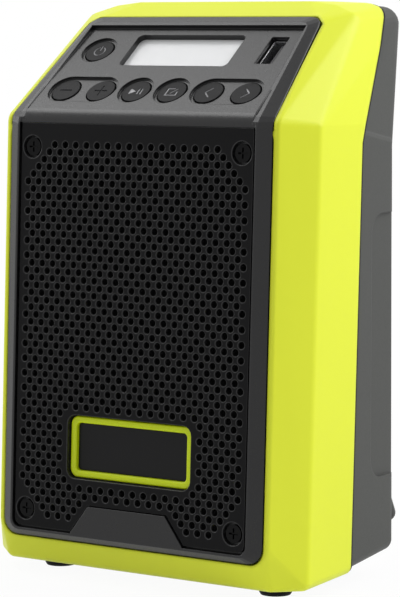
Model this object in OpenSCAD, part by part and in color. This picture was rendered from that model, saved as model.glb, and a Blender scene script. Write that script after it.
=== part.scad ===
// Jobsite radio: two-part housing, bent front with a grille and a sloped control panel,
// speaker inside, battery bay at the rear. Millimetres, table at z = 0, front towards -Y.

/* [Body] */
// width of the body
body_w = 126; // [110:1:140]
// height of the front bend above the table
bend_h = 157.1; // [140:0.1:170]
// height of the top above the bend
head_h = 37.5; // [30:0.5:45]
// height of the underside at the front
floor_h = 4.1; // [3:0.1:8]
// height of the underside at the rear
floor_rear_h = 7.2; // [5:0.1:12]
// slope of the control panel from level
panel_tilt = 38; // [30:1:50]
// slope of the panel's rim from level
rim_tilt = 40.3; // [32:0.1:52]
// lean of the grille from upright
front_lean = 2.4; // [0:0.2:5]
// distance from the bend to the middle of the body
bend_to_mid = 36.8; // [30:0.1:42]
// wall of both housings
wall = 2.5; // [2:0.1:3]
// width of the shell's lip around the dark rim
lip_w = 2.5; // [1.5:0.1:3]
// outer face of the back behind the bend
back_y = 68.6; // [62:0.1:76]
// roundness of the body's edges
edge_r = 3; // [2:0.5:5]

/* [Seam] */
// distance of the seam behind the grille
seam_d = 41; // [30:0.5:50]
// slope of the upper seam, back for each millimetre up
seam_slope = 0.62; // [0.4:0.01:0.8]
// thickness of the seam gasket
seam_t = 1; // [0.5:0.1:1.5]
// depth of the seam groove
seam_in = 0.25; // [0.1:0.05:1]

/* [Grille] */
// hole diameter
hole_d = 2.4; // [1:0.1:2.8]
// sideways step between neighbouring rows
hole_step = 2.2; // [1.8:0.1:3]
// distance between rows
row_step = 2.5; // [2:0.1:3.5]
// distance of the first row below the bend
first_row = 10.4; // [8:0.1:14]
// half width of the grille plate
grille_hw = 47.4; // [40:0.1:50]
// lower edge of the grille plate below the bend
grille_low = 140.4; // [120:0.1:150]
// thickness of the grille plate
grille_t = 2; // [1.5:0.1:3]
// height of the rim above the grille plate
rim_up = 0.5; // [0:0.1:1]
// gap around the grille plate
grille_gap = 0.35; // [0.2:0.05:0.6]
// half width of the badge
badge_hw = 24.9; // [18:0.1:30]
// half height of the badge
badge_hh = 10.4; // [7:0.1:14]
// centre of the badge below the bend
badge_s = 111.35; // [90:0.05:120]

/* [Panel] */
// half width of the panel at its top
panel_top_hw = 43.9; // [38:0.1:46]
// upper end of the panel above the bend
panel_high = 46.1; // [42:0.1:50]
// button diameter
button_d = 10.2; // [8:0.1:12]
// hole around a button
button_hole_d = 11.06; // [9:0.01:13]
// button travel
travel = 0.8; // [0.5:0.1:1.5]
// row of buttons above the bend
row_s = 13.1; // [10:0.1:18]
// distance between the centres of neighbouring buttons
button_step = 14.6; // [12:0.1:16]
// half width of the display window
lcd_hw = 22; // [17:0.5:23.5]
// display window, lower edge above the bend
lcd_low = 26; // [22:0.5:32]
// display window, upper edge above the bend
lcd_high = 42.4; // [36:0.1:46]
// socket slot width
usb_w = 7; // [6:0.1:9]
// socket slot length
usb_l = 14; // [13:0.1:16]

/* [Speaker] */
// speaker centre below the bend
spk_s = 62; // [50:1:75]
// speaker outer diameter
spk_d = 84; // [60:1:88]
// cone travel each way
cone_travel = 1; // [0.5:0.1:2]

/* [Battery bay] */
// half width of the bay
bay_hw = 42; // [35:0.5:46]
// bay, upper edge below the bend
bay_top = 34; // [30:0.5:40]
// bay, lower edge below the bend
bay_low = 121; // [110:0.5:125]
// bay floor behind the bend
bay_y = 58; // [54:0.5:62]
// half width of the stem socket
stem_hw = 22; // [18:0.5:26]
// half height of the stem socket
stem_hh = 26; // [20:0.5:30]
// floor of the stem socket behind the bend
stem_y = 37; // [34:0.5:45]

/* [Feet] */
// foot diameter
foot_d = 11; // [8:0.5:16]
// front feet from the middle
foot_x = 44.5; // [35:0.5:50]
// front feet behind the bend
foot_front_y = 17; // [12:1:24]
// rear feet from the middle
foot_rear_x = 38; // [30:0.5:50]
// rear feet behind the bend
foot_rear_y = 56; // [48:1:60]

/* [Hidden] */
$fn = 48;
half_w = body_w / 2;
floor_z = floor_h - bend_h;
floor_rear_z = floor_rear_h - bend_h;
ball_n = 24;
fine_n = 16;
// the bezel under the grille
pocket_d = 2.4;
baffle_back = 5;
bezel_back = 8;
seat_d = 8.3;
flange_back = 11;
panel_t = 2.6;
// rim outline: half width at the bend, at the top, lower and upper end
rim_hw = grille_hw + 5.4;
rim_top_hw = panel_top_hw + 3.8;
rim_low = grille_low + 3.2;
rim_high = panel_high + 6;
rim_gap = 0.4;
land_hw = grille_hw + 1.4;
land_top_hw = panel_top_hw + 1.2;
land_low = grille_low + 1.3;
land_high = panel_high + 2.1;
rim_f = 1.6;
rim_drop = 1.3;
rim_wall = 2.8;
field_hw = grille_hw - 1.1;
seat_hw = grille_hw + grille_gap;
// front lip of the shell around the rim
lip_f = rim_f + 0.4;
lip_drop = rim_drop + 0.4;
lip_low = rim_low + 1.9;
lip_high = rim_high + 1.8;
rim_start = 0.45;
// foot plate: half width below and above, upper edge below the bend
foot_hw = 23;
foot_top_hw = 15.9;
foot_s = grille_low - 9.6;
// flange of the shell behind the rim
flange_hw = rim_hw - 7.8;
flange_top_hw = rim_top_hw - 6.2;
flange_low = rim_low - 4.6;
flange_high = rim_high - 4.1;
bend_r = 6;
field_r = 5.5;
// ridge between the bevel and the side, behind the bend
ridge_y = 15.6;
// corners of the top, in from the side and behind the bend
top_in = 11.5;
top_y = 52.3;
// seat of the corner screws
screw_x = grille_hw - 5;
screw_s = [first_row + 0.9, grille_low - 6.35];
head_d = 6;
shank_d = 3;
shank_hole_d = 3.2;
cup_d = 9.6;
cup_well_d = 7.6;
cup_floor = 2.2;
cup_back = 3.2;
// housing screws
post_x = half_w - 11;
post_z = [-22, floor_z + 14.5];
post_d = 9;
meet_y = seam_d - 3;
head_y = seam_d + 13;
// control panel
recess_d = 13;
recess_deep = 0.9;
cap_top = 0.6;
flange_top = 2.7;
flange_h = 1;
flange_d = button_hole_d + 1.54;
board_d = 7;
tact_h = 1.85;
board_t = 1.6;
board_hw = panel_top_hw - 1.5;
button_row = [-2.5, -1.5, -0.5, 0.5, 1.5, 2.5];
power_x = 9.2 - panel_top_hw;
power_s = (lcd_low + lcd_high) / 2;
usb_x = panel_top_hw - 8;
usb_s = power_s + 0.3;
lens_d = 2;
lens_t = 1.2;
post_at = [[2 * button_step + 0.4, row_s + 10.5], [lcd_hw + 5.8, lcd_high + 2]];
board_post_d = 4.6;
small_shank_d = 2;
// main board above the battery bay
main_y = seam_d + 13;
main_hw = 40;
main_low = 9 - bay_top;
main_high = head_h - 13.5;
main_post = [[main_hw - 6, main_low + 6], [main_hw - 6, main_high - 6]];
foot_h = floor_h + 1.6;
foot_seat = 0.05;
terminal_z = -(bay_top + bay_low) / 2;
blade_x = [-12, -4, 4, 12];
basket_back = 24;
roll_x = spk_d / 2 - 10;
coil_end = cone_travel + 0.4 - basket_back;

function bend_at(a, b, t) = [
    (a * cos(t) - b * sin(front_lean)) / cos(front_lean + t),
    (a * sin(t) - b * cos(front_lean)) / cos(front_lean + t)];

module at_bend() { translate([0, -bend_to_mid, bend_h]) children(); }
module on_front() { at_bend() rotate([90 - front_lean, 0, 0]) children(); }
module on_panel() { at_bend() rotate([panel_tilt, 0, 0]) children(); }
module on_rim() {
    at_bend()
    translate([0, rim_start * sin(panel_tilt), -rim_start * cos(panel_tilt)])
    rotate([rim_tilt, 0, 0]) children();
}
module both() { children(); mirror([1, 0, 0]) children(); }
module side_profile(hw) {
    at_bend() rotate([90, 0, 90]) translate([0, 0, -hw]) linear_extrude(2 * hw) children();
}
module rounded(w, h, r) {
    union() {
        square([w - 2 * r, h], center = true);
        square([w, h - 2 * r], center = true);
        both() for (y = [-1, 1]) translate([w / 2 - r, y * (h / 2 - r)]) circle(r);
    }
}
module rounded_box(x0, x1, y0, y1, r) {
    translate([(x0 + x1) / 2, (y0 + y1) / 2]) rounded(x1 - x0, y1 - y0, r);
}

// balls around an outline that follows the front, the bend and the panel,
// at depth f behind the front and d behind the panel's rim
module outline_balls(hw, top_hw, low, high, corner, top_corner, f, d, r, n) {
    bend = max(bend_r - d, r + 0.05);
    c = bend_at(f + bend, rim_start + d + bend, rim_tilt);
    both() {
        on_front() for (a = [0 : 22.5 : 90])
            translate([hw - corner + (corner - r) * cos(a),
                       corner - low - (corner - r) * sin(a), -f - r])
            sphere(r = r, $fn = n);
        at_bend() for (a = [front_lean, 26, 90 - rim_tilt])
            translate([hw - r, c[0] - (bend - r) * cos(a), c[1] + (bend - r) * sin(a)])
            sphere(r = r, $fn = n);
        on_rim() for (a = [0 : 30 : 90])
            translate([top_hw - top_corner + (top_corner - r) * cos(a),
                       high - top_corner + (top_corner - r) * sin(a), -d - r])
            sphere(r = r, $fn = n);
    }
}

// everything deeper than d behind both the front and the panel
module behind(d) {
    intersection() {
        on_front() translate([-90, -200, -d - 120]) cube([180, 300, 120]);
        on_panel() translate([-90, -220, -d - 300]) cube([180, 320, 300]);
    }
}

module ball(p, r) { translate(p) sphere(r = r, $fn = ball_n); }

// outer form of the front half, or its inside at a given inset
module body_hull(inset) {
    r = edge_r - inset;
    hull() {
        outline_balls(rim_hw + lip_w - inset, rim_top_hw + lip_w - 1.2 - inset,
                      lip_low - inset, lip_high - inset, 7, 6,
                      lip_f + inset, lip_drop + inset, max(1.2 - inset, 0.3), fine_n);
        at_bend() both() {
            ball([half_w - edge_r, ridge_y - 6.9, floor_z + edge_r], r);
            ball([half_w - 10.5, 1.7, floor_z + edge_r], r);
            ball([half_w - edge_r, ridge_y, -3.2], r);
            ball([half_w - edge_r, seam_d + 27, -3.2], r);
            ball([half_w - edge_r, seam_d + 27, floor_rear_z + edge_r], r);
            ball([half_w - top_in, top_y - 1.8, head_h - edge_r - 5.4], r + 2);
            ball([half_w - top_in - 6.9, top_y, head_h - edge_r - 1.1], r);
            ball([half_w - top_in - 0.5, seam_d + 31, head_h - edge_r - 4.2], r + 3.6);
            for (y = [top_y, seam_d + 32])
                ball([half_w - top_in - 16.5, y, head_h - edge_r], r);
        }
    }
}

// outer form of the rear half, or its inside at a given inset
module rear_hull(inset) {
    r = edge_r - inset;
    at_bend() {
        hull() both() {
            ball([half_w - edge_r - 1, seam_d - 8, -5], r);
            ball([half_w - edge_r - 1, seam_d - 8, floor_z + edge_r + 2.1], r);
            ball([half_w - edge_r - 4.1, back_y - 5.4, -10], r + 1);
            ball([half_w - edge_r - 4.1, back_y - 4, floor_rear_z + edge_r + 2], r + 1);
        }
        hull() both() {
            ball([half_w - edge_r - 1.2, seam_d - 7.4, -12], r);
            ball([half_w - edge_r - 4.2, back_y - 5.7, -15], r + 1);
            ball([half_w - top_in - 0.6, seam_d + 9, head_h - edge_r - 5.7], r + 2);
            ball([half_w - top_in - 16.5, seam_d + 11, head_h - edge_r - 0.4], r);
            ball([half_w - top_in - 2, back_y + 5.4, head_h - edge_r - 4.7], r + 3);
            ball([half_w - top_in - 16.5, back_y + 5.6, head_h - edge_r - 3], r + 2.5);
        }
    }
}

// region in front of (or behind) the seam, moved back by a
module seam_cut(a, front) {
    far = front ? -40 : 140;
    side_profile(80) polygon([
        [seam_at(-180) + a, -180],
        [seam_at(-9) + 1.02 * a, -9],
        [seam_at(-9) + 3 * seam_slope + 1.1 * a, -3],
        [seam_at(-9) + 56 * seam_slope + 1.18 * a, 50],
        [far, 50],
        [far, -180]]);
}
function seam_at(z) = seam_d + z * tan(front_lean);

// prism with the outline of the rim, grown by g, between two depths
module rim_prism(g, d0, d1, hw, top_hw, low, high) {
    on_front() translate([0, 0, -d1]) linear_extrude(d1 - d0)
        rounded_box(-hw - g, hw + g, -low - g, -2, 5.5);
    on_panel() translate([0, 0, -d1]) linear_extrude(d1 - d0) polygon([
        [-hw - g, -1], [hw + g, -1], [top_hw + g, high - 3], [top_hw - 3, high + g],
        [3 - top_hw, high + g], [-top_hw - g, high - 3]]);
}

module front_shell() {
    color([0.84, 0.9, 0.2]) difference() {
        union() {
            difference() {
                body_hull(0);
                seam_cut(-seam_t / 2 - 0.05, false);
                intersection() {
                    body_hull(wall);
                    behind(flange_back);
                }
                rim_prism(rim_gap, -4, seat_d, rim_hw, rim_top_hw, rim_low, rim_high);
                rim_prism(0, -4, flange_back + 4, flange_hw, flange_top_hw, flange_low,
                          flange_high);
            }
            both() on_front() for (s = screw_s) translate([screw_x, -s, -19]) {
                cylinder(d = 8, h = 19 - seat_d);
                translate([0, -4, 0])
                    cube([flange_hw + 4.4 - screw_x, 8, 19 - seat_d]);
            }
            both() at_bend() for (z = post_z)
                let (y = seat_d + 0.7 + z * tan(front_lean))
                translate([post_x, y, z]) rotate([-90, 0, 0])
                cylinder(d = post_d, h = meet_y - y);
        }
        both() on_front() for (s = screw_s) translate([screw_x, -s, -18])
            cylinder(d = shank_hole_d, h = 20);
        both() at_bend() for (z = post_z) translate([post_x, 18, z]) rotate([-90, 0, 0])
            cylinder(d = shank_hole_d, h = 30);
        both() at_bend() translate([foot_x, foot_front_y, -bend_h])
            cylinder(d = foot_d + 0.4, h = foot_h + foot_seat);
    }
}

module rear_housing() {
    color([0.36, 0.36, 0.36]) difference() {
        union() {
            difference() {
                union() {
                    rear_hull(0);
                    // rib under the bay
                    at_bend() hull() both() {
                        ball([half_w - 9, back_y - 2.2, -bay_low - 2 - edge_r], edge_r);
                        ball([half_w - 8.6, back_y + 3.1, floor_z + 13 + edge_r], edge_r);
                    }
                }
                seam_cut(seam_t / 2 + 0.05, true);
                rear_hull(wall);
                // side scoops
                at_bend() both() translate([half_w - 3.6, seam_d + 9, 0]) rotate([0, 0, 2.5])
                    rotate([90, 0, 90]) linear_extrude(6)
                    rounded_box(0, 40, -bay_low - 1, -bay_top + 1, 7);
            }
            // battery bay
            at_bend() translate([-bay_hw - wall, bay_y - wall, -bay_low - wall]) cube([
                2 * (bay_hw + wall), back_y + 0.2 - bay_y + wall,
                bay_low - bay_top + 2 * wall]);
            at_bend() translate([-stem_hw - wall, stem_y - wall, terminal_z - stem_hh - wall])
                cube([2 * (stem_hw + wall), bay_y - stem_y, 2 * (stem_hh + wall)]);
            at_bend() both() for (z = post_z) translate([post_x, meet_y + 0.05, z])
                rotate([-90, 0, 0])
                cylinder(d = post_d, h = back_y - (z < -90 ? 1.2 : 2.4) - meet_y);
            at_bend() both() for (p = main_post) translate([p[0], main_y + board_t, p[1]])
                rotate([-90, 0, 0])
                cylinder(d = 6, h = back_y - main_y - board_t + (p[1] > 0 ? 6.4 : -2.4));
            at_bend() both() translate([foot_rear_x, foot_rear_y, foot_h - 0.4 - bend_h])
                cylinder(d = foot_d + 3, h = floor_rear_h + 3.1 - foot_h);
        }
        at_bend() {
            translate([-bay_hw, bay_y, -bay_low]) cube([2 * bay_hw, 30, bay_low - bay_top]);
            translate([-stem_hw, stem_y, terminal_z - stem_hh])
                cube([2 * stem_hw, 30, 2 * stem_hh]);
            both() for (z = post_z) translate([post_x, 30, z]) rotate([-90, 0, 0]) {
                cylinder(d = shank_hole_d, h = 50);
                translate([0, 0, head_y - 30 - 2]) cylinder(d = head_d + 0.8, h = 40);
            }
            both() for (p = main_post) translate([p[0], main_y - 1, p[1]])
                rotate([-90, 0, 0]) cylinder(d = small_shank_d + 0.2, h = 8);
            both() translate([foot_rear_x, foot_rear_y, -bend_h])
                cylinder(d = foot_d + 0.4, h = foot_h + foot_seat);
        }
    }
}

module seam_gasket() {
    color([0.05, 0.05, 0.05]) difference() {
        body_hull(seam_in);
        seam_cut(seam_t / 2, false);
        seam_cut(-seam_t / 2, true);
        body_hull(wall - 0.2);
    }
}

// centre of the rounded bend, and the outward directions of the front and the panel
field_c = bend_at(field_r, field_r, panel_tilt);
front_out = [-cos(front_lean), sin(front_lean)];
panel_out = [-sin(panel_tilt), cos(panel_tilt)];

// space in front of the panel, the rounded bend and the top of the grille
module field_space() {
    side_profile(field_hw) difference() {
        polygon([
            field_c, field_c + field_r * front_out, field_c + 14 * front_out,
            field_c + 10 * (front_out + panel_out), field_c + 14 * panel_out,
            field_c + field_r * panel_out]);
        translate(field_c) circle(r = field_r, $fn = 64);
    }
    on_front() linear_extrude(6) polygon([
        [-seat_hw, -4], [seat_hw, -4], [field_hw, 3], [field_hw, 9], [-field_hw, 9],
        [-field_hw, 3]]);
    on_panel() linear_extrude(6) polygon([
        [-field_hw, -9], [field_hw, -9], [field_hw, 0], [panel_top_hw, panel_high],
        [-panel_top_hw, panel_high], [-field_hw, 0]]);
}

// solid under the lower end of the panel, trimmed by the space in front of it
module field_fill() {
    end = [14 * cos(panel_tilt), 14 * sin(panel_tilt)];
    side_profile(field_hw - 0.05) polygon([
        field_c, end + [2, -3], end + 0.2 * panel_out, bend_at(-0.2, -0.2, panel_tilt),
        field_c + (field_r + 0.2) * front_out]);
}

// outline of the grille plate, grown by g
module plate_outline(g) {
    rounded_box(-grille_hw - g, grille_hw + g, -grille_low - g, -8, 2.65 + g);
    translate([-grille_hw - g, -14]) square([2 * (grille_hw + g), 14 - 3.2 + g / 3]);
}

// outline of the raised foot plate in the middle of the rim's lower edge, grown by g
module foot(g) {
    polygon([
        [-foot_hw - g, -grille_low - 1], [foot_hw + g, -grille_low - 1],
        [foot_hw + g, -grille_low], [foot_top_hw + g, g - foot_s],
        [-foot_top_hw - g, g - foot_s], [-foot_hw - g, -grille_low]]);
}

module button_at(i) { on_panel() translate([button_step * button_row[i], row_s, 0]) children(); }
module power_at() { on_panel() translate([power_x, power_s, 0]) children(); }

module front_bezel() {
    color([0.25, 0.25, 0.26]) difference() {
        union() {
            difference() {
                union() {
                    difference() {
                        hull() {
                            outline_balls(land_hw, land_top_hw, land_low, land_high, 3.5, 4,
                                          -rim_up, 0, 0.4, 8);
                            outline_balls(rim_hw, rim_top_hw, rim_low, rim_high, 5.5, 5,
                                          rim_f, rim_drop, 0.4, 8);
                        }
                        behind(bezel_back);
                    }
                    field_fill();
                }
                field_space();
            }
            on_front() translate([0, 0, -pocket_d - 0.4])
                linear_extrude(pocket_d + 0.4 + rim_up - 0.05) foot(0);
        }
        // seat of the grille around the foot plate
        on_front() translate([0, 0, -pocket_d]) linear_extrude(8) difference() {
            plate_outline(grille_gap);
            foot(-grille_gap + 0.15);
        }
        // hollow behind the baffle and the panel
        difference() {
            union() {
                on_front() translate([rim_wall - rim_hw, rim_wall - rim_low, -12])
                    cube([2 * (rim_hw - rim_wall), rim_low - 2 * rim_wall, 12 - baffle_back]);
                on_panel() translate([0, 0, -12]) linear_extrude(12 - panel_t) polygon([
                    [rim_wall - rim_hw, -1], [rim_hw - rim_wall, -1],
                    [rim_top_hw - rim_wall, rim_high - rim_wall],
                    [rim_wall - rim_top_hw, rim_high - rim_wall]]);
            }
            both() on_front() for (s = screw_s) translate([screw_x, -s, -seat_d])
                cylinder(d = 8, h = 6);
            both() on_panel() for (p = post_at) translate([p[0], p[1], -board_d])
                cylinder(d = board_post_d, h = 6);
        }
        // speaker opening
        on_front() translate([0, -spk_s, -9]) cylinder(d = spk_d - 14, h = 9);
        speaker_at() for (a = [45 : 90 : 315]) rotate([0, 0, a])
            translate([spk_d / 2 - 3, 0, -1]) cylinder(d = small_shank_d + 0.2, h = 2.7);
        // badge seat
        on_front() translate([0, -badge_s, -4]) linear_extrude(4)
            rounded(2 * badge_hw + 0.3, 2 * badge_hh + 0.3, 3.15);
        both() on_front() for (s = screw_s) {
            translate([screw_x, -s, -12]) cylinder(d = shank_hole_d, h = 12);
            translate([screw_x, -s, -cup_back - 0.1]) cylinder(d = cup_d + 0.5, h = 4);
        }
        both() on_panel() for (p = post_at) translate([p[0], p[1], -board_d - 2])
            cylinder(d = small_shank_d + 0.2, h = 5.5);
        // buttons
        for (i = [0 : 5]) button_at(i) {
            translate([0, 0, -recess_deep]) cylinder(d = recess_d, h = 4);
            translate([0, 0, -6]) cylinder(d = button_hole_d, h = 8);
        }
        for (i = [0, 4]) button_at(i) translate([0, -recess_d / 2, -recess_deep])
            cube([button_step, recess_d, 4]);
        power_at() {
            translate([0, 0, -recess_deep]) cylinder(d = recess_d, h = 4);
            translate([0, 0, -6]) cylinder(d = button_hole_d, h = 8);
        }
        // display window and its seat
        on_panel() translate([0, 0, -6]) linear_extrude(9)
            rounded_box(-lcd_hw, lcd_hw, lcd_low, lcd_high, 2);
        on_panel() translate([0, 0, -6]) linear_extrude(6 - lens_d)
            rounded_box(-lcd_hw - 2.2, lcd_hw + 2.2, lcd_low - 1.7, lcd_high + 1.7, 1);
        on_panel() translate([usb_x, usb_s, -6]) linear_extrude(9)
            rounded(usb_w, usb_l, 0.5);
    }
}

// rows are staggered: neighbouring holes in a row lie two steps apart
hole_rows = floor((grille_low - first_row - 4.9) / row_step) + 1;
hole_cols = floor((grille_hw - 3.3) / hole_step);

function last_hole(n) =
    let (edge = min(n, hole_rows - 1 - n), j = hole_cols - max(5 - edge, 0))
    j - (j + n + 1) % 2;
function in_badge(x, s) =
    let (dx = abs(x), ds = abs(s - badge_s))
    dx < badge_hw + 3 && ds < badge_hh + 1.5 && dx + ds < badge_hw + badge_hh + 2.2;
function in_foot(x, s) = s > foot_s - 1 && abs(x) < 16.5 + (s - foot_s) * 0.75;

module grille() {
    color([0.15, 0.15, 0.16]) on_front() difference() {
        union() {
            translate([0, 0, -grille_t]) linear_extrude(grille_t) difference() {
                plate_outline(0);
                for (n = [0 : hole_rows - 1], i = [-last_hole(n) : 2 : last_hole(n)])
                    let (x = i * hole_step, s = first_row + n * row_step)
                    if (!in_badge(x, s) && !in_foot(x, s))
                        translate([x, -s]) circle(d = hole_d, $fn = 16);
                translate([0, -badge_s]) rounded(2 * badge_hw + 0.6, 2 * badge_hh + 0.6, 3.3);
                foot(0.15);
            }
            both() for (s = screw_s) translate([screw_x, -s, -cup_back])
                cylinder(d = cup_d, h = cup_back);
        }
        both() for (s = screw_s) {
            translate([screw_x, -s, -cup_floor]) cylinder(d = cup_well_d, h = 5);
            translate([screw_x, -s, -6]) cylinder(d = shank_hole_d, h = 6);
        }
    }
}

module grille_cloth() {
    color([0.08, 0.08, 0.08]) on_front() translate([0, 0, -pocket_d + 0.05])
        linear_extrude(0.3) difference() {
            rounded_box(2.45 - grille_hw, grille_hw - 2.45, 2.85 - grille_low, -6, 3);
            translate([0, -badge_s]) rounded(2 * badge_hw + 1.2, 2 * badge_hh + 1.2, 3.6);
            both() for (s = screw_s) translate([screw_x, -s]) circle(d = cup_d + 1);
            foot(0.15);
        }
}

module badge_frame() {
    color([0.68, 0.76, 0.14]) on_front() translate([0, -badge_s, -4]) difference() {
        linear_extrude(2.5) rounded(2 * badge_hw, 2 * badge_hh, 3);
        translate([0, 0, -1]) linear_extrude(5)
            rounded(2 * badge_hw - 4.8, 2 * badge_hh - 4.8, 1.4);
    }
}

module badge_plate() {
    color([0.06, 0.06, 0.06]) on_front() translate([0, -badge_s, -4])
        linear_extrude(1) rounded(2 * badge_hw - 5, 2 * badge_hh - 5, 1.3);
}

module cross_screw(head, hh, shank, length) {
    difference() {
        union() {
            cylinder(d = head, h = hh);
            translate([0, 0, -length]) cylinder(d = shank, h = length);
        }
        for (a = [0, 90]) rotate([0, 0, a]) translate([-head * 0.3, -0.3, hh - 0.8])
            cube([head * 0.6, 0.6, 2]);
    }
}

module grille_screws() {
    color([0.1, 0.1, 0.1]) both() on_front() for (s = screw_s)
        translate([screw_x, -s, -cup_floor]) cross_screw(head_d, 1.5, shank_d, 15.5);
}

module housing_screws() {
    color([0.15, 0.15, 0.15]) both() at_bend() for (z = post_z)
        translate([post_x, head_y - 2, z]) rotate([-90, 0, 0])
        cross_screw(head_d, 2, shank_d, 28);
}

module speaker_at() { on_front() translate([0, -spk_s, -baffle_back]) children(); }

module speaker_gasket() {
    color([0.05, 0.05, 0.05]) speaker_at() translate([0, 0, -0.8]) difference() {
        cylinder(d = spk_d, h = 0.8);
        translate([0, 0, -1]) cylinder(d = spk_d - 12, h = 3);
        for (a = [45 : 90 : 315]) rotate([0, 0, a]) translate([spk_d / 2 - 3, 0, -1])
            cylinder(d = 2.8, h = 3);
    }
}

module speaker_basket() {
    color([0.3, 0.3, 0.3]) speaker_at() difference() {
        rotate_extrude($fn = 96) polygon([
            [spk_d / 2, -0.8], [spk_d / 2, -2.3], [spk_d / 2 - 5.5, -2.3],
            [22.6, -basket_back + 5], [22.6, -basket_back + 3.5], [12, -basket_back + 3.5],
            [12, -basket_back + 5], [21, -basket_back + 5], [spk_d / 2 - 7, -1.6],
            [spk_d / 2 - 7, -0.8]]);
        for (a = [0 : 90 : 270]) rotate([0, 0, a])
            translate([spk_d / 2 - 17, -9, -basket_back + 7]) cube([20, 18, 11]);
        for (a = [45 : 90 : 315]) rotate([0, 0, a]) translate([spk_d / 2 - 3, 0, -5])
            cylinder(d = 2.4, h = 8);
    }
}

module speaker_magnet() {
    color([0.2, 0.2, 0.2]) speaker_at() rotate_extrude($fn = 64) polygon([
        [11.3, -basket_back + 3.5], [22.5, -basket_back + 3.5], [22.5, -basket_back - 2],
        [0, -basket_back - 2], [0, -basket_back + 4.5], [9.3, -basket_back + 4.5],
        [9.3, -basket_back], [11.3, -basket_back]]);
}

module speaker_surround() {
    color([0.07, 0.07, 0.07]) speaker_at() rotate_extrude($fn = 96) difference() {
        union() {
            translate([roll_x, -1.9]) circle(r = 2.3);
            translate([roll_x + 1.4, -2.2]) square([0.9, 0.6]);
        }
        translate([roll_x, -1.9]) circle(r = 1.7);
        translate([roll_x - 7, -12]) square([12, 9.8]);
    }
}

module speaker_cone() {
    color([0.12, 0.12, 0.12]) speaker_at() rotate_extrude($fn = 96) polygon([
        [roll_x - 2.7, -2.2], [roll_x - 2.7, -3], [roll_x - 3.4, -3],
        [10.6, 9.6 - basket_back], [10.6, coil_end], [10, coil_end],
        [10, 10.4 - basket_back], [roll_x - 3.8, -2.2]]);
}

module dust_cap() {
    color([0.1, 0.1, 0.1]) speaker_at() rotate_extrude($fn = 48) polygon([
        [0, 14.4 - basket_back], [3.5, 14.1 - basket_back], [7, 13 - basket_back],
        [9.9, 10.8 - basket_back], [9.9, 10 - basket_back], [6.8, 12.3 - basket_back],
        [3.4, 13.5 - basket_back], [0, 13.8 - basket_back]]);
}

module speaker_screws() {
    color([0.6, 0.6, 0.6]) speaker_at() for (a = [45 : 90 : 315]) rotate([0, 0, a])
        translate([spk_d / 2 - 3, 0, -2.3]) rotate([180, 0, 0])
        cross_screw(4.4, 1.4, small_shank_d, 3.8);
}

module cap() {
    difference() {
        union() {
            translate([0, 0, -flange_top - flange_h]) {
                cylinder(d = button_d, h = flange_top + flange_h - cap_top);
                cylinder(d = flange_d, h = flange_h);
            }
            translate([0, 0, tact_h + travel + 0.05 - board_d]) cylinder(d = 4, h = 2);
        }
        translate([0, 0, -cap_top - 0.25]) linear_extrude(2) children();
    }
}
module bar(l, w, a) { rotate([0, 0, a]) square([l, w], center = true); }

module minus_button() {
    color([0.17, 0.17, 0.17]) button_at(0) cap() bar(5, 0.5, 0);
}
module plus_button() {
    color([0.17, 0.17, 0.17]) button_at(1) cap() { bar(5, 0.5, 0); bar(5, 0.5, 90); }
}
module play_button() {
    color([0.17, 0.17, 0.17]) button_at(2) cap() {
        polygon([[-2.6, -1.5], [0, 0], [-2.6, 1.5]]);
        for (x = [0.9, 2.2]) translate([x, 0]) bar(3, 0.5, 90);
    }
}
module source_button() {
    color([0.17, 0.17, 0.17]) button_at(3) cap() {
        difference() {
            square([4.6, 3.8], center = true);
            square([3.6, 2.8], center = true);
            translate([0.6, 0.4]) square([3, 3]);
        }
        translate([0.6, 0.4]) bar(3.2, 0.5, 45);
    }
}
module previous_button() {
    color([0.17, 0.17, 0.17]) button_at(4) cap() for (a = [1, -1])
        translate([-0.2, a * 1.15]) bar(3.2, 0.5, a * 45);
}
module next_button() {
    color([0.17, 0.17, 0.17]) button_at(5) cap() for (a = [1, -1])
        translate([0.2, a * 1.15]) bar(3.2, 0.5, a * -45);
}
module power_button() {
    color([0.17, 0.17, 0.17]) power_at() cap() {
        difference() {
            circle(r = 2.3);
            circle(r = 1.8);
            translate([-0.7, 0]) square([1.4, 3]);
        }
        translate([0, 1.6]) bar(2.4, 0.5, 90);
    }
}

module display_lens() {
    color([0.92, 0.92, 0.92]) on_panel() translate([0, 0, -lens_d - lens_t])
        linear_extrude(lens_t - 0.05)
        rounded_box(-lcd_hw - 1.9, lcd_hw + 1.9, lcd_low - 1.4, lcd_high + 1.4, 0.8);
}

module lcd_module() {
    color([0.2, 0.3, 0.2]) on_panel() translate([0, 0, -board_d])
        linear_extrude(board_d - lens_d - lens_t - 0.1)
        rounded_box(-lcd_hw - 1.5, lcd_hw + 1.5, lcd_low - 1, lcd_high + 1, 0.6);
}

module usb_shell() {
    color([0.75, 0.75, 0.76]) on_panel() translate([usb_x, usb_s, 0]) {
        difference() {
            translate([-2.85, -6.6, -12.5]) cube([5.7, 13.2, 11]);
            translate([-2.45, -6.2, -11.5]) cube([4.9, 12.4, 12]);
        }
        for (y = [-8, 6.5]) translate([-1.5, y, -board_d - board_t - 0.6])
            cube([3, 1.5, 0.6]);
    }
}

module usb_tongue() {
    color([0.9, 0.9, 0.9]) on_panel() translate([usb_x, usb_s, 0]) {
        translate([-2.35, -6.1, -11.4]) cube([4.7, 12.2, 1.6]);
        translate([0.1, -5.4, -10]) cube([1.6, 10.8, 7.5]);
    }
}

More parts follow.
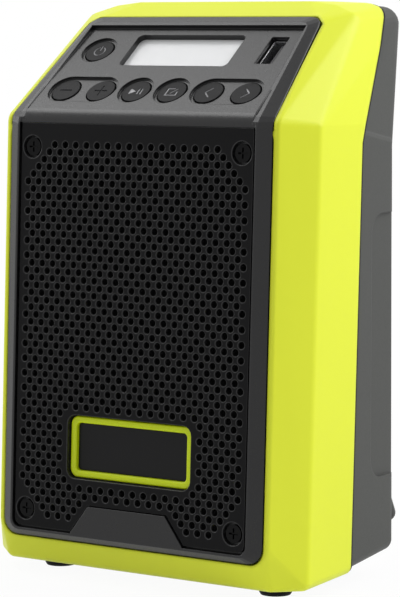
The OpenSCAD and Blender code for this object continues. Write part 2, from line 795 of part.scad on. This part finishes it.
module control_board() {
    color([0.1, 0.35, 0.18]) on_panel() difference() {
        translate([0, 0, -board_d - board_t]) linear_extrude(board_t)
            polygon([[-board_hw, 5], [board_hw, 5], [board_hw - 3.5, panel_high + 1.3],
                     [3.5 - board_hw, panel_high + 1.3]]);
        translate([usb_x - 3.1, usb_s - 6.85, -12]) cube([6.2, 13.7, 8]);
        both() for (p = post_at) translate([p[0], p[1], -12])
            cylinder(d = small_shank_d + 0.2, h = 8);
    }
}

module tact_switches() {
    color([0.5, 0.5, 0.52]) {
        for (i = [0 : 5]) button_at(i) tact();
        power_at() tact();
    }
}
module tact() {
    translate([-3, -3, -board_d]) cube([6, 6, tact_h - 0.65]);
    translate([0, 0, 1 - board_d]) cylinder(d = 3.2, h = tact_h - 1);
}

module board_screws() {
    color([0.7, 0.7, 0.7]) {
        both() on_panel() for (p = post_at) translate([p[0], p[1], -board_d - board_t])
            rotate([180, 0, 0]) cross_screw(3.8, 1.2, small_shank_d, 4.8);
        both() at_bend() for (p = main_post) translate([p[0], main_y, p[1]])
            rotate([90, 0, 0]) cross_screw(3.8, 1.2, small_shank_d, 6);
    }
}

module main_board() {
    color([0.1, 0.35, 0.18]) at_bend() difference() {
        translate([-main_hw, main_y, main_low])
            cube([2 * main_hw, board_t, main_high - main_low]);
        both() for (p = main_post) translate([p[0], main_y - 1, p[1]])
            rotate([-90, 0, 0]) cylinder(d = small_shank_d + 0.2, h = 5);
    }
}

module board_parts() {
    color([0.6, 0.6, 0.62]) at_bend() {
        translate([-24, main_y - 3, main_low + 5]) cube([20, 3, 26]);
        translate([4, main_y - 1.6, main_low + 17]) cube([12, 1.6, 12]);
        for (x = [8, 18, 28]) translate([x, main_y, main_low + 9]) rotate([90, 0, 0])
            cylinder(d = 8, h = 11);
        for (z = [11, 21]) translate([-6, main_y + board_t, main_low + z]) cube([12, 6, 7]);
    }
}

module terminal_block() {
    color([0.08, 0.08, 0.08]) at_bend() difference() {
        translate([5 - stem_hw, stem_y, terminal_z + stem_hh - 20])
            cube([2 * stem_hw - 10, 7, 14]);
        for (x = blade_x) translate([x - 0.45, stem_y + 1, terminal_z + stem_hh - 16.1])
            cube([0.9, 8, 6.2]);
    }
}

module terminal_blades() {
    color([0.8, 0.68, 0.35]) at_bend() for (x = blade_x)
        translate([x - 0.4, stem_y + 1, terminal_z + stem_hh - 16]) cube([0.8, 14, 6]);
}

module rubber_feet() {
    color([0.05, 0.05, 0.05]) at_bend() both()
        for (p = [[foot_x, foot_front_y], [foot_rear_x, foot_rear_y]])
        translate([p[0], p[1], -bend_h]) {
            cylinder(d1 = foot_d - 1, d2 = foot_d, h = 0.8);
            translate([0, 0, 0.8]) cylinder(d = foot_d, h = foot_h - 0.8);
        }
}

front_shell();
rear_housing();
seam_gasket();
front_bezel();
grille();
grille_cloth();
badge_frame();
badge_plate();
grille_screws();
display_lens();
lcd_module();
usb_shell();
usb_tongue();
power_button();
minus_button();
plus_button();
play_button();
source_button();
previous_button();
next_button();
control_board();
tact_switches();
board_screws();
speaker_basket();
speaker_cone();
dust_cap();
speaker_surround();
speaker_magnet();
speaker_gasket();
speaker_screws();
main_board();
board_parts();
terminal_block();
terminal_blades();
rubber_feet();
housing_screws();
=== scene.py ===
from math import cos, floor, pi, radians, sin, tau

import bpy
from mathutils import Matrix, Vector
from mathutils.geometry import delaunay_2d_cdt


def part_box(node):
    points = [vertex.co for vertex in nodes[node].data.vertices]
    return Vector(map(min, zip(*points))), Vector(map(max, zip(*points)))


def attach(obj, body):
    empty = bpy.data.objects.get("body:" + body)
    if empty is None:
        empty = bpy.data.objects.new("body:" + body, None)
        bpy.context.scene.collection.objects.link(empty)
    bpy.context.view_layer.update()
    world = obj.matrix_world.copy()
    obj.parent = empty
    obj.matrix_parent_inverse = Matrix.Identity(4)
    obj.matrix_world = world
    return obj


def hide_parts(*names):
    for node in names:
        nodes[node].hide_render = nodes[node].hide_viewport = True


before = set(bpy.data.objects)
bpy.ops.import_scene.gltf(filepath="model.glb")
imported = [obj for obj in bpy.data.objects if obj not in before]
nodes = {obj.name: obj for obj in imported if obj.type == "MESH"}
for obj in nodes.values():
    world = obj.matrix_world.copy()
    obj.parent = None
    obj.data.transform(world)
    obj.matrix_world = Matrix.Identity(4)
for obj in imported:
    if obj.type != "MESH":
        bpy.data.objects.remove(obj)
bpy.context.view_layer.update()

MM = 0.001

# the bend between grille and panel, from part.scad
BEND_Y = -36.8 * MM
BEND_H = 157.1 * MM
PANEL_TILT = radians(38)
FRONT_LEAN = radians(2.4)

# grille plate in millimetres, from part.scad: half widths, and distances below the bend
PLATE_HW = 47.4
PLATE_TOP = 3.2
PLATE_LOW = 140.4
PLATE_T = 2
PLATE_CORNER = 2.4
HOLE_D = 2.4
HOLE_STEP = 2.2
ROW_STEP = 2.5
FIRST_ROW = 10.4
BADGE_HW = 24.9
BADGE_HH = 10.4
BADGE_S = 111.35
BADGE_GAP = 0.3
BADGE_CORNER = 3.3
FOOT_HW = 23
FOOT_TOP_HW = 15.9
FOOT_S = PLATE_LOW - 9.6
FOOT_GAP = 0.15

# least distance of a hole's centre from the plate's side and lower end
SIDE_ROOM = 3.3
LOW_ROOM = 4.9
# rows that step in at each corner
CORNER_ROWS = 5
# room for the badge: beside it, over and under it, and across its corners
BADGE_SIDE_ROOM = 3
BADGE_ROOM = 1.5
BADGE_CORNER_ROOM = 2.2
# room for the foot: over it, half width at its top, and how much wider per millimetre down
FOOT_ROOM = 1
FOOT_ROOM_HW = 16.5
FOOT_ROOM_SPREAD = 0.75

# screw cups: a ring behind the plate with a well and the shank's hole in its middle; the ring is
# slimmer than in part.scad, so that it ends inside the trimmed plate
CUP_X = PLATE_HW - 5
CUP_S = (FIRST_ROW + 0.9, PLATE_LOW - 6.35)
CUP_D = 8.9
CUP_BACK = 3.2
WELL_D = 7.6
WELL_DEEP = 2.2
SHANK_D = 3.2

# the plate is this much narrower on three sides, which leaves a dark groove round it
PLATE_TRIM = 0.5
# radii of the rounded front edges, the angles that a rounding is cut at, steps of a rounded
# corner, and sides of a circle
OUTLINE_ROUND = 0.1
BADGE_ROUND = 0.25
HOLE_ROUND = 0.3
ROUND_ANGLES = (0, 30, 60, 90)
CORNER_STEPS = 4
HOLE_SIDES = 16
CUP_SIDES = 32

# triangulation: only what lies inside the outermost loop, and points nearer than this are one
INSIDE = 1
SAME_POINT = 1e-6

# materials: the stretch of values that a noise mostly has, a surface's change of roughness, and
# the depth of a fine grain
NOISE_LOW, NOISE_HIGH = 0.3, 0.7
ROUGH_CHANGE = 0.06
GRAIN_DEEP = 0.2 * MM

# the engraved signs of the buttons, below the panel and round each button's axis
SIGN_TOP = 0.64 * MM
SIGN_LOW = 0.95 * MM
SIGN_R = 3.9 * MM

# camera: its place seen from the bend, its turns to the left and down, and its focal length
CAM_X = 523.8 * MM
CAM_BACK = 722.3 * MM
CAM_UP = 29.1 * MM
CAM_YAW = radians(34.58)
CAM_PITCH = radians(5.73)
CAM_LENS = 163.6

# studio, in metres: the height that lamps aim at, the world's light on the object, and the floor,
# which turns from nearly white to white between two distances from the object
AIM_H = 0.12
WORLD_LIGHT = 0.42
FLOOR_HALF = 6
FLOOR_NEAR = 0.15
FLOOR_FAR = 0.4
FLOOR_NEAR_WHITE = 0.95


def srgb(r, g, b):
    """A colour as seen on screen, 0 to 255, as linear RGBA."""
    def lin(v):
        v /= 255
        return v / 12.92 if v < 0.04045 else ((v + 0.055) / 1.055) ** 2.4
    return (lin(r), lin(g), lin(b), 1)


def shifted(colour, k):
    """The colour made k times as bright."""
    return tuple(min(1, c * k) for c in colour[:3]) + (1,)


def link_object(name, data):
    """A new object in the scene."""
    obj = bpy.data.objects.new(name, data)
    bpy.context.scene.collection.objects.link(obj)
    return obj


def new_material(name):
    """A material with its node tree and main shader."""
    m = bpy.data.materials.new(name)
    m.use_nodes = True
    tree = m.node_tree
    return m, tree, tree.nodes["Principled BSDF"]


def object_coords(tree):
    return tree.nodes.new("ShaderNodeTexCoord").outputs["Object"]


def noise(tree, scale, detail=4, rough=0.6):
    """Value of a noise texture in the object's own coordinates."""
    n = tree.nodes.new("ShaderNodeTexNoise")
    n.inputs["Scale"].default_value = scale
    n.inputs["Detail"].default_value = detail
    n.inputs["Roughness"].default_value = rough
    tree.links.new(object_coords(tree), n.inputs["Vector"])
    return n.outputs["Fac"]


def ramp(tree, source, low, high, a, b):
    """The source's stretch from low to high mapped to a stretch from a to b."""
    r = tree.nodes.new("ShaderNodeMapRange")
    r.inputs["From Min"].default_value = low
    r.inputs["From Max"].default_value = high
    r.inputs["To Min"].default_value = a
    r.inputs["To Max"].default_value = b
    tree.links.new(source, r.inputs["Value"])
    return r.outputs["Result"]


def maths(tree, operation, a, b):
    """Result of a maths node; a and b are numbers or sockets."""
    m = tree.nodes.new("ShaderNodeMath")
    m.operation = operation
    for socket, value in zip(m.inputs, (a, b)):
        if isinstance(value, (int, float)):
            socket.default_value = value
        else:
            tree.links.new(value, socket)
    return m.outputs["Value"]


def vector_maths(tree, operation, source, vector=(0, 0, 0), output="Vector"):
    """Result of a vector maths node on a socket and a fixed vector."""
    v = tree.nodes.new("ShaderNodeVectorMath")
    v.operation = operation
    tree.links.new(source, v.inputs[0])
    v.inputs[1].default_value = vector
    return v.outputs[output]


def mixed(tree, factor, a, b):
    """A colour between a and b; each is a colour or a socket."""
    mix = tree.nodes.new("ShaderNodeMix")
    mix.data_type = "RGBA"
    for key, value in (("A", a), ("B", b)):
        if isinstance(value, tuple):
            mix.inputs[key].default_value = value
        else:
            tree.links.new(value, mix.inputs[key])
    tree.links.new(factor, mix.inputs["Factor"])
    return mix.outputs["Result"]


def bumped(tree, bsdf, height, strength, distance):
    """Bump the shader's normal by a height, and give the bump node back."""
    b = tree.nodes.new("ShaderNodeBump")
    b.inputs["Strength"].default_value = strength
    b.inputs["Distance"].default_value = distance
    tree.links.new(height, b.inputs["Height"])
    tree.links.new(b.outputs["Normal"], bsdf.inputs["Normal"])
    return b


def surface(name, colour, *, rough, vary, blotch, grain, bump, edge, metallic=0, specular=0.5,
            coat=0):
    """Moulded, painted or plated surface: slow colour change, fine grain and soft edges.

    Blotch and grain are noise scales, and edge is the soft edges' radius in millimetres."""
    m, tree, bsdf = new_material(name)
    slow = noise(tree, blotch)
    tint = mixed(tree, slow, shifted(colour, 1 - vary), shifted(colour, 1 + vary))
    tree.links.new(tint, bsdf.inputs["Base Color"])
    fine = noise(tree, grain, detail=6, rough=0.7)
    gloss = ramp(tree, fine, NOISE_LOW, NOISE_HIGH, rough - ROUGH_CHANGE, rough + ROUGH_CHANGE)
    tree.links.new(gloss, bsdf.inputs["Roughness"])
    bsdf.inputs["Metallic"].default_value = metallic
    bsdf.inputs["Specular IOR Level"].default_value = specular
    bsdf.inputs["Coat Weight"].default_value = coat
    soft = tree.nodes.new("ShaderNodeBevel")
    soft.samples = 6
    soft.inputs["Radius"].default_value = edge * MM
    grained = bumped(tree, bsdf, fine, bump, GRAIN_DEEP)
    tree.links.new(soft.outputs["Normal"], grained.inputs["Normal"])
    return m


def button_face(name, ink_and_highlight):
    """Button rubber whose engraved sign is filled with a paler colour: partly print, partly
    painted highlight of the engraving's gloss.
    """
    m = surface(name + "_rubber", srgb(21, 21, 22), rough=0.5, vary=0.06, blotch=120, grain=2400,
                bump=0.06, edge=0.4, specular=0.12)
    tree = m.node_tree
    bsdf = tree.nodes["Principled BSDF"]
    rubber = bsdf.inputs["Base Color"].links[0].from_socket
    up = Vector((0, -sin(PANEL_TILT), cos(PANEL_TILT)))
    low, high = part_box(name)
    centre = (Vector(low) + Vector(high)) / 2
    # height over the cap's centre across the panel, and distance from the button's axis
    offset = vector_maths(tree, "SUBTRACT", object_coords(tree), centre)
    height = vector_maths(tree, "DOT_PRODUCT", offset, up, "Value")
    across = vector_maths(tree, "CROSS_PRODUCT", offset, up)
    radius = vector_maths(tree, "LENGTH", across, output="Value")
    panel = Vector((0, BEND_Y, BEND_H)).dot(up) - centre.dot(up)
    sunk = maths(tree, "MULTIPLY",
                 maths(tree, "LESS_THAN", height, panel - SIGN_TOP),
                 maths(tree, "GREATER_THAN", height, panel - SIGN_LOW))
    inked = maths(tree, "MULTIPLY", sunk, maths(tree, "LESS_THAN", radius, SIGN_R))
    # the sign's paler fill: print together with painted highlight
    tree.links.new(mixed(tree, inked, rubber, srgb(ink_and_highlight, ink_and_highlight, ink_and_highlight + 2)),
                   bsdf.inputs["Base Color"])
    return m


def woven(name, colour, scale):
    """Thin acoustic cloth: crossed waves of threads, one every tau / 20 / scale metres, with
    painted shade in the dips between threads.
    """
    m, tree, bsdf = new_material(name)
    heights = []
    for axis in ("X", "Z"):
        w = tree.nodes.new("ShaderNodeTexWave")
        w.bands_direction = axis
        w.inputs["Scale"].default_value = scale
        tree.links.new(object_coords(tree), w.inputs["Vector"])
        heights.append(w.outputs["Fac"])
    top = maths(tree, "MAXIMUM", heights[0], heights[1])
    # half as bright where the threads dip: painted shade between threads
    tree.links.new(mixed(tree, top, shifted(colour, 0.5), colour), bsdf.inputs["Base Color"])
    bumped(tree, bsdf, top, strength=0.4, distance=0.1 * MM)
    bsdf.inputs["Roughness"].default_value = 0.9
    bsdf.inputs["Specular IOR Level"].default_value = 0.1
    return m


MATERIALS = {
    "lime": surface("lime_moulding", srgb(223, 232, 48), rough=0.42, vary=0.02, blotch=12,
                    grain=1200, bump=0.02, edge=1.6, specular=0.35),
    "grey": surface("grey_moulding", srgb(66, 67, 65), rough=0.5, vary=0.05, blotch=15,
                    grain=1500, bump=0.1, edge=0.6, specular=0.3),
    "dark": surface("dark_moulding", srgb(22, 22, 23), rough=0.31, vary=0.08, blotch=20,
                    grain=1500, bump=0.06, edge=0.4, specular=0.38),
    "grille": surface("grille_coating", srgb(15, 15, 16), rough=0.4, vary=0.1, blotch=25,
                      grain=1800, bump=0.06, edge=0.2, specular=0.09),
    # the grille coating made paler and glossier for hole walls and rounded edges: painted
    # highlight
    "edge": surface("grille_edge_painted_highlight", srgb(30, 30, 31), rough=0.3, vary=0.1, blotch=25,
                    grain=1800, bump=0.04, edge=0.1, specular=0.36),
    "badge_lime": surface("badge_lime", srgb(204, 222, 8), rough=0.3, vary=0.04, blotch=30,
                          grain=1500, bump=0.02, edge=0.3, specular=0.3),
    "black": surface("black_moulding", srgb(18, 18, 19), rough=0.35, vary=0.08, blotch=30,
                     grain=1500, bump=0.04, edge=0.3, specular=0.15),
    # black screws, made darker than the other black parts: real black plus painted shade of a
    # head deep in its well
    "screw": surface("black_screw_and_painted_shade", srgb(8, 8, 9), rough=0.22, vary=0.15, blotch=200,
                     grain=3000, bump=0.08, edge=0.1, specular=0.1),
    "window": surface("display_window", srgb(232, 233, 234), rough=0.12, vary=0.01, blotch=12,
                      grain=400, bump=0, edge=0.2, coat=0.3),
    "bright": surface("plated_steel", srgb(222, 222, 224), rough=0.28, vary=0.06, blotch=120,
                      grain=2500, bump=0.05, edge=0.05, metallic=1),
    "tongue": surface("tongue_moulding", srgb(62, 62, 64), rough=0.5, vary=0.04, blotch=60,
                      grain=1500, bump=0.03, edge=0.1, specular=0.2),
    "board": surface("board_mask", srgb(24, 92, 52), rough=0.3, vary=0.08, blotch=80,
                     grain=1200, bump=0.03, edge=0.15),
    "basket": surface("basket_paint", srgb(60, 60, 62), rough=0.4, vary=0.08, blotch=60,
                      grain=1200, bump=0.08, edge=0.3, metallic=0.4),
    "paper": surface("cone_paper", srgb(30, 29, 28), rough=0.85, vary=0.15, blotch=150,
                     grain=900, bump=0.4, edge=0.2, specular=0.1),
    "magnet": surface("magnet_iron", srgb(62, 62, 64), rough=0.4, vary=0.12, blotch=60,
                      grain=800, bump=0.1, edge=0.3, metallic=0.7),
    "rubber": surface("soft_rubber", srgb(18, 18, 18), rough=0.7, vary=0.1, blotch=60,
                      grain=1500, bump=0.15, edge=0.4, specular=0.2),
    "brass": surface("contact_plating", srgb(214, 178, 92), rough=0.28, vary=0.08, blotch=90,
                     grain=2000, bump=0.05, edge=0.1, metallic=1),
    "cloth": woven("acoustic_cloth", srgb(14, 14, 14), scale=100),
}

FINISH = {
    "front_shell": "lime", "rear_housing": "grey", "seam_gasket": "rubber",
    "front_bezel": "dark", "grille": "grille", "grille_cloth": "cloth",
    "badge_frame": "badge_lime", "badge_plate": "black", "grille_screws": "screw",
    "display_lens": "window", "lcd_module": "black", "usb_shell": "bright",
    "usb_tongue": "tongue", "control_board": "board", "tact_switches": "bright",
    "board_screws": "bright", "speaker_basket": "basket", "speaker_cone": "paper",
    "dust_cap": "paper", "speaker_surround": "rubber", "speaker_magnet": "magnet",
    "speaker_gasket": "rubber", "speaker_screws": "bright", "main_board": "board",
    "board_parts": "black", "terminal_block": "black", "terminal_blades": "brass",
    "rubber_feet": "rubber", "housing_screws": "screw",
}

# how light the sign on each button is: partly print, partly painted highlight of the glossy
# engraving, so it differs from button to button
BUTTON_INK_AND_HIGHLIGHT = {
    "power_button": 170, "minus_button": 52, "plus_button": 52, "play_button": 190,
    "source_button": 200, "previous_button": 190, "next_button": 190,
}


def dress():
    """Every CAD node gets its material."""
    for name, obj in nodes.items():
        obj.data.materials.clear()
        if name in BUTTON_INK_AND_HIGHLIGHT:
            obj.data.materials.append(button_face(name, BUTTON_INK_AND_HIGHLIGHT[name]))
        else:
            obj.data.materials.append(MATERIALS[FINISH[name]])


def soften(name, width):
    """Round the edges of a CAD node's object, once the points that meet are joined."""
    weld = nodes[name].modifiers.new("weld", "WELD")
    weld.merge_threshold = 0.01 * MM
    bevel = nodes[name].modifiers.new("soft_edges", "BEVEL")
    bevel.width = width
    bevel.segments = 4
    bevel.limit_method = "ANGLE"
    bevel.angle_limit = radians(35)
    bevel.harden_normals = True


def circle(x, y, d, sides):
    """A hole's loop, clockwise."""
    return [(x + d / 2 * cos(-tau * i / sides), y + d / 2 * sin(-tau * i / sides))
            for i in range(sides)]


def rounded_corner(x, y, r, start):
    """A quarter turn of radius r round x, y from the angle start, counter-clockwise."""
    angles = [start + i * pi / 2 / CORNER_STEPS for i in range(CORNER_STEPS + 1)]
    return [(x + r * cos(a), y + r * sin(a)) for a in angles]


def rounded_loop(hw, low, high, r):
    """A rounded rectangle, counter-clockwise."""
    corners = ((hw - r, high - r), (r - hw, high - r), (r - hw, low + r), (hw - r, low + r))
    return [p for i, (x, y) in enumerate(corners) for p in rounded_corner(x, y, r, i * pi / 2)]


def plate_loop():
    """The grille plate's outline with the notch for the foot, counter-clockwise."""
    half, low, r = PLATE_HW - PLATE_TRIM, PLATE_TRIM - PLATE_LOW, PLATE_CORNER
    notch_low, notch_top, notch_s = FOOT_HW + FOOT_GAP, FOOT_TOP_HW + FOOT_GAP, FOOT_S - FOOT_GAP
    return ([(half, -PLATE_TOP), (-half, -PLATE_TOP)]
            + rounded_corner(r - half, low + r, r, pi)
            + [(-notch_low, low), (-notch_top, -notch_s), (notch_top, -notch_s), (notch_low, low)]
            + rounded_corner(half - r, low + r, r, 1.5 * pi))


def badge_loop():
    """The opening round the badge, clockwise."""
    hw, hh = BADGE_HW + BADGE_GAP, BADGE_HH + BADGE_GAP
    return [(x, y - BADGE_S) for x, y in rounded_loop(hw, -hh, hh, BADGE_CORNER)][::-1]


def inset(loop, gap):
    """The loop moved to its left by gap, corners mitred."""
    out = []
    for i, (x, y) in enumerate(loop):
        (px, py), (nx, ny) = loop[i - 1], loop[(i + 1) % len(loop)]
        a = Vector((x - px, y - py)).normalized()
        b = Vector((nx - x, ny - y)).normalized()
        left = Vector((-a.y - b.y, a.x + b.x))
        left *= 2 / left.length_squared
        out.append((x + gap * left.x, y + gap * left.y))
    return out


def hole_loops():
    """The grille's holes in staggered rows, as in part.scad."""
    rows = floor((PLATE_LOW - FIRST_ROW - LOW_ROOM) / ROW_STEP) + 1
    cols = floor((PLATE_HW - SIDE_ROOM) / HOLE_STEP)
    loops = []
    for n in range(rows):
        last = cols - max(CORNER_ROWS - min(n, rows - 1 - n), 0)
        # every second place is left out, and neighbouring rows leave out the other ones
        last -= (last + n + 1) % 2
        for i in range(-last, last + 1, 2):
            x, s = i * HOLE_STEP, FIRST_ROW + n * ROW_STEP
            dx, ds = abs(x), abs(s - BADGE_S)
            in_badge = (dx < BADGE_HW + BADGE_SIDE_ROOM and ds < BADGE_HH + BADGE_ROOM
                        and dx + ds < BADGE_HW + BADGE_HH + BADGE_CORNER_ROOM)
            in_foot = (s > FOOT_S - FOOT_ROOM
                       and dx < FOOT_ROOM_HW + (s - FOOT_S) * FOOT_ROOM_SPREAD)
            if not in_badge and not in_foot:
                loops.append(circle(x, -s, HOLE_D, HOLE_SIDES))
    return loops


def build_grille():
    """The perforated plate with rounded hole edges and four screw cups."""
    verts, faces, finish = [], [], []
    # faces with the edge finish get the paler copy of the coating, which paints highlights on
    # walls and rounded edges
    coating, edge = 0, 1

    def add_loop(loop, depth):
        start = len(verts)
        verts.extend((x, y, -depth) for x, y in loop)
        return [start + i for i in range(len(loop))]

    def join(a, b):
        """Band of faces between two rings."""
        for i in range(len(a)):
            faces.append((a[i], a[i - 1], b[i - 1], b[i]))
            finish.append(edge)

    def wall(loop, top, bottom, r):
        """Wall under a loop with its front edge rounded by r: its first and last rings."""
        rings = []
        for a in (ROUND_ANGLES if r else ROUND_ANGLES[-1:]):
            rings.append(add_loop(inset(loop, r * (1 - sin(radians(a)))) if r else loop,
                                  top + r * (1 - cos(radians(a)))))
        rings.append(add_loop(loop, bottom))
        for above, below in zip(rings, rings[1:]):
            join(above, below)
        return rings[0], rings[-1]

    def fill(rings, flip):
        """Flat face between the rings, the first one outermost."""
        index = [i for ring in rings for i in ring]
        owner = [k for k, ring in enumerate(rings) for _ in ring]
        edges, start = [], 0
        for ring in rings:
            edges += [(start + i, start + (i + 1) % len(ring)) for i in range(len(ring))]
            start += len(ring)
        flat = [Vector(verts[i][:2]) for i in index]
        _, _, tris, source, _, _ = delaunay_2d_cdt(flat, edges, [], INSIDE, SAME_POINT)
        for tri in tris:
            tri = [source[i][0] for i in tri]
            owners = {owner[i] for i in tri}
            # a triangle with all its corners on one inner ring lies in a hole
            if len(owners) > 1 or 0 in owners:
                tri = [index[i] for i in tri]
                faces.append(tuple(reversed(tri)) if flip else tuple(tri))
                finish.append(coating)

    walls = [wall(plate_loop(), 0, PLATE_T, OUTLINE_ROUND),
             wall(badge_loop(), 0, PLATE_T, BADGE_ROUND)]
    walls += [wall(loop, 0, PLATE_T, HOLE_ROUND) for loop in hole_loops()]
    front = [w[0] for w in walls]
    back = [w[1] for w in walls]
    for x in (-CUP_X, CUP_X):
        for s in CUP_S:
            well, shank, cup = (circle(x, -s, d, CUP_SIDES) for d in (WELL_D, SHANK_D, CUP_D))
            well_top, well_low = wall(well, 0, WELL_DEEP, HOLE_ROUND)
            shank_top, shank_low = wall(shank, WELL_DEEP, CUP_BACK, 0)
            cup_top, cup_low = add_loop(cup, PLATE_T), add_loop(cup, CUP_BACK)
            join(well_low, shank_top)
            join(shank_low, cup_low)
            join(cup_low, cup_top)
            front.append(well_top)
            back.append(cup_top)
    fill(front, flip=False)
    fill(back, flip=True)
    placed = []
    lean = pi / 2 - FRONT_LEAN
    for x, y, z in verts:
        placed.append((x * MM, BEND_Y + (y * cos(lean) - z * sin(lean)) * MM,
                       BEND_H + (y * sin(lean) + z * cos(lean)) * MM))
    mesh = bpy.data.meshes.new("grille_plate")
    mesh.from_pydata(placed, [], faces)
    mesh.materials.append(MATERIALS["grille"])
    # second material: painted highlight on the walls and rounded edges
    mesh.materials.append(MATERIALS["edge"])
    mesh.polygons.foreach_set("material_index", finish)
    mesh.validate()
    plate = link_object("grille_plate", mesh)
    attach(plate, "housing")
    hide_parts("grille")


def add_camera():
    cam = link_object("camera", bpy.data.cameras.new("camera"))
    cam.data.lens = CAM_LENS
    cam.data.clip_start = 0.01
    cam.location = (CAM_X, BEND_Y - CAM_BACK, BEND_H + CAM_UP)
    cam.rotation_euler = (pi / 2 - CAM_PITCH, 0, CAM_YAW)
    bpy.context.scene.camera = cam


def area_lamp(name, azimuth, elevation, distance, size, radiance):
    """Soft lamp on a sphere round the object. Azimuth 0 is at the front and 90 at the right."""
    lamp = bpy.data.lights.new(name, "AREA")
    lamp.shape = "RECTANGLE"
    lamp.size, lamp.size_y = size
    lamp.energy = radiance * pi * size[0] * size[1]
    obj = link_object(name, lamp)
    a, e = radians(azimuth), radians(elevation)
    away = Vector((sin(a) * cos(e), -cos(a) * cos(e), sin(e)))
    obj.location = Vector((0, 0, AIM_H)) + distance * away
    obj.rotation_euler = away.to_track_quat("Z", "Y").to_euler()


def seen_directly(tree):
    """1 for rays from the camera, mirrors and glass, which see plain white, else 0."""
    path = tree.nodes.new("ShaderNodeLightPath")
    seen = path.outputs["Is Camera Ray"]
    for other in ("Is Glossy Ray", "Is Transmission Ray"):
        seen = maths(tree, "MAXIMUM", seen, path.outputs[other])
    return seen


def add_world():
    """White surroundings that light the object less than they show."""
    world = bpy.data.worlds.new("studio")
    bpy.context.scene.world = world
    world.use_nodes = True
    tree = world.node_tree
    back = tree.nodes["Background"]
    back.inputs["Color"].default_value = (1, 1, 1, 1)
    tree.links.new(ramp(tree, seen_directly(tree), 0, 1, WORLD_LIGHT, 1), back.inputs["Strength"])


def add_floor():
    """White floor that shows plain white away from the object and takes shadows."""
    h = FLOOR_HALF
    mesh = bpy.data.meshes.new("floor")
    mesh.from_pydata([(-h, -h, 0), (h, -h, 0), (h, h, 0), (-h, h, 0)], [], [(0, 1, 2, 3)])
    ground = link_object("floor", mesh)
    m, tree, bsdf = new_material("floor_paper")
    matt = ramp(tree, noise(tree, scale=40), NOISE_LOW, NOISE_HIGH, a=0.88, b=0.94)
    tree.links.new(matt, bsdf.inputs["Roughness"])
    bsdf.inputs["Base Color"].default_value = (0.9, 0.9, 0.9, 1)
    bsdf.inputs["Specular IOR Level"].default_value = 0.1
    glow = tree.nodes.new("ShaderNodeEmission")
    away = vector_maths(tree, "LENGTH", object_coords(tree), output="Value")
    plain = ramp(tree, away, FLOOR_NEAR, FLOOR_FAR, FLOOR_NEAR_WHITE, 1)
    mix = tree.nodes.new("ShaderNodeMixShader")
    tree.links.new(maths(tree, "MULTIPLY", seen_directly(tree), plain), mix.inputs["Fac"])
    tree.links.new(bsdf.outputs["BSDF"], mix.inputs[1])
    tree.links.new(glow.outputs["Emission"], mix.inputs[2])
    tree.links.new(mix.outputs["Shader"], tree.nodes["Material Output"].inputs["Surface"])
    mesh.materials.append(m)


dress()
soften("badge_frame", width=0.7 * MM)
build_grille()
add_camera()
add_world()
add_floor()
area_lamp("top", azimuth=-80, elevation=56, distance=1, size=(0.5, 0.5), radiance=3.8)
area_lamp("right", azimuth=118, elevation=36, distance=1.2, size=(0.7, 0.9), radiance=4.4)
area_lamp("back", azimuth=128, elevation=60, distance=1.1, size=(0.5, 0.5), radiance=3)
area_lamp("left", azimuth=-75, elevation=20, distance=1, size=(0.4, 0.5), radiance=3.5)

bpy.context.scene.view_settings.view_transform = "Standard"
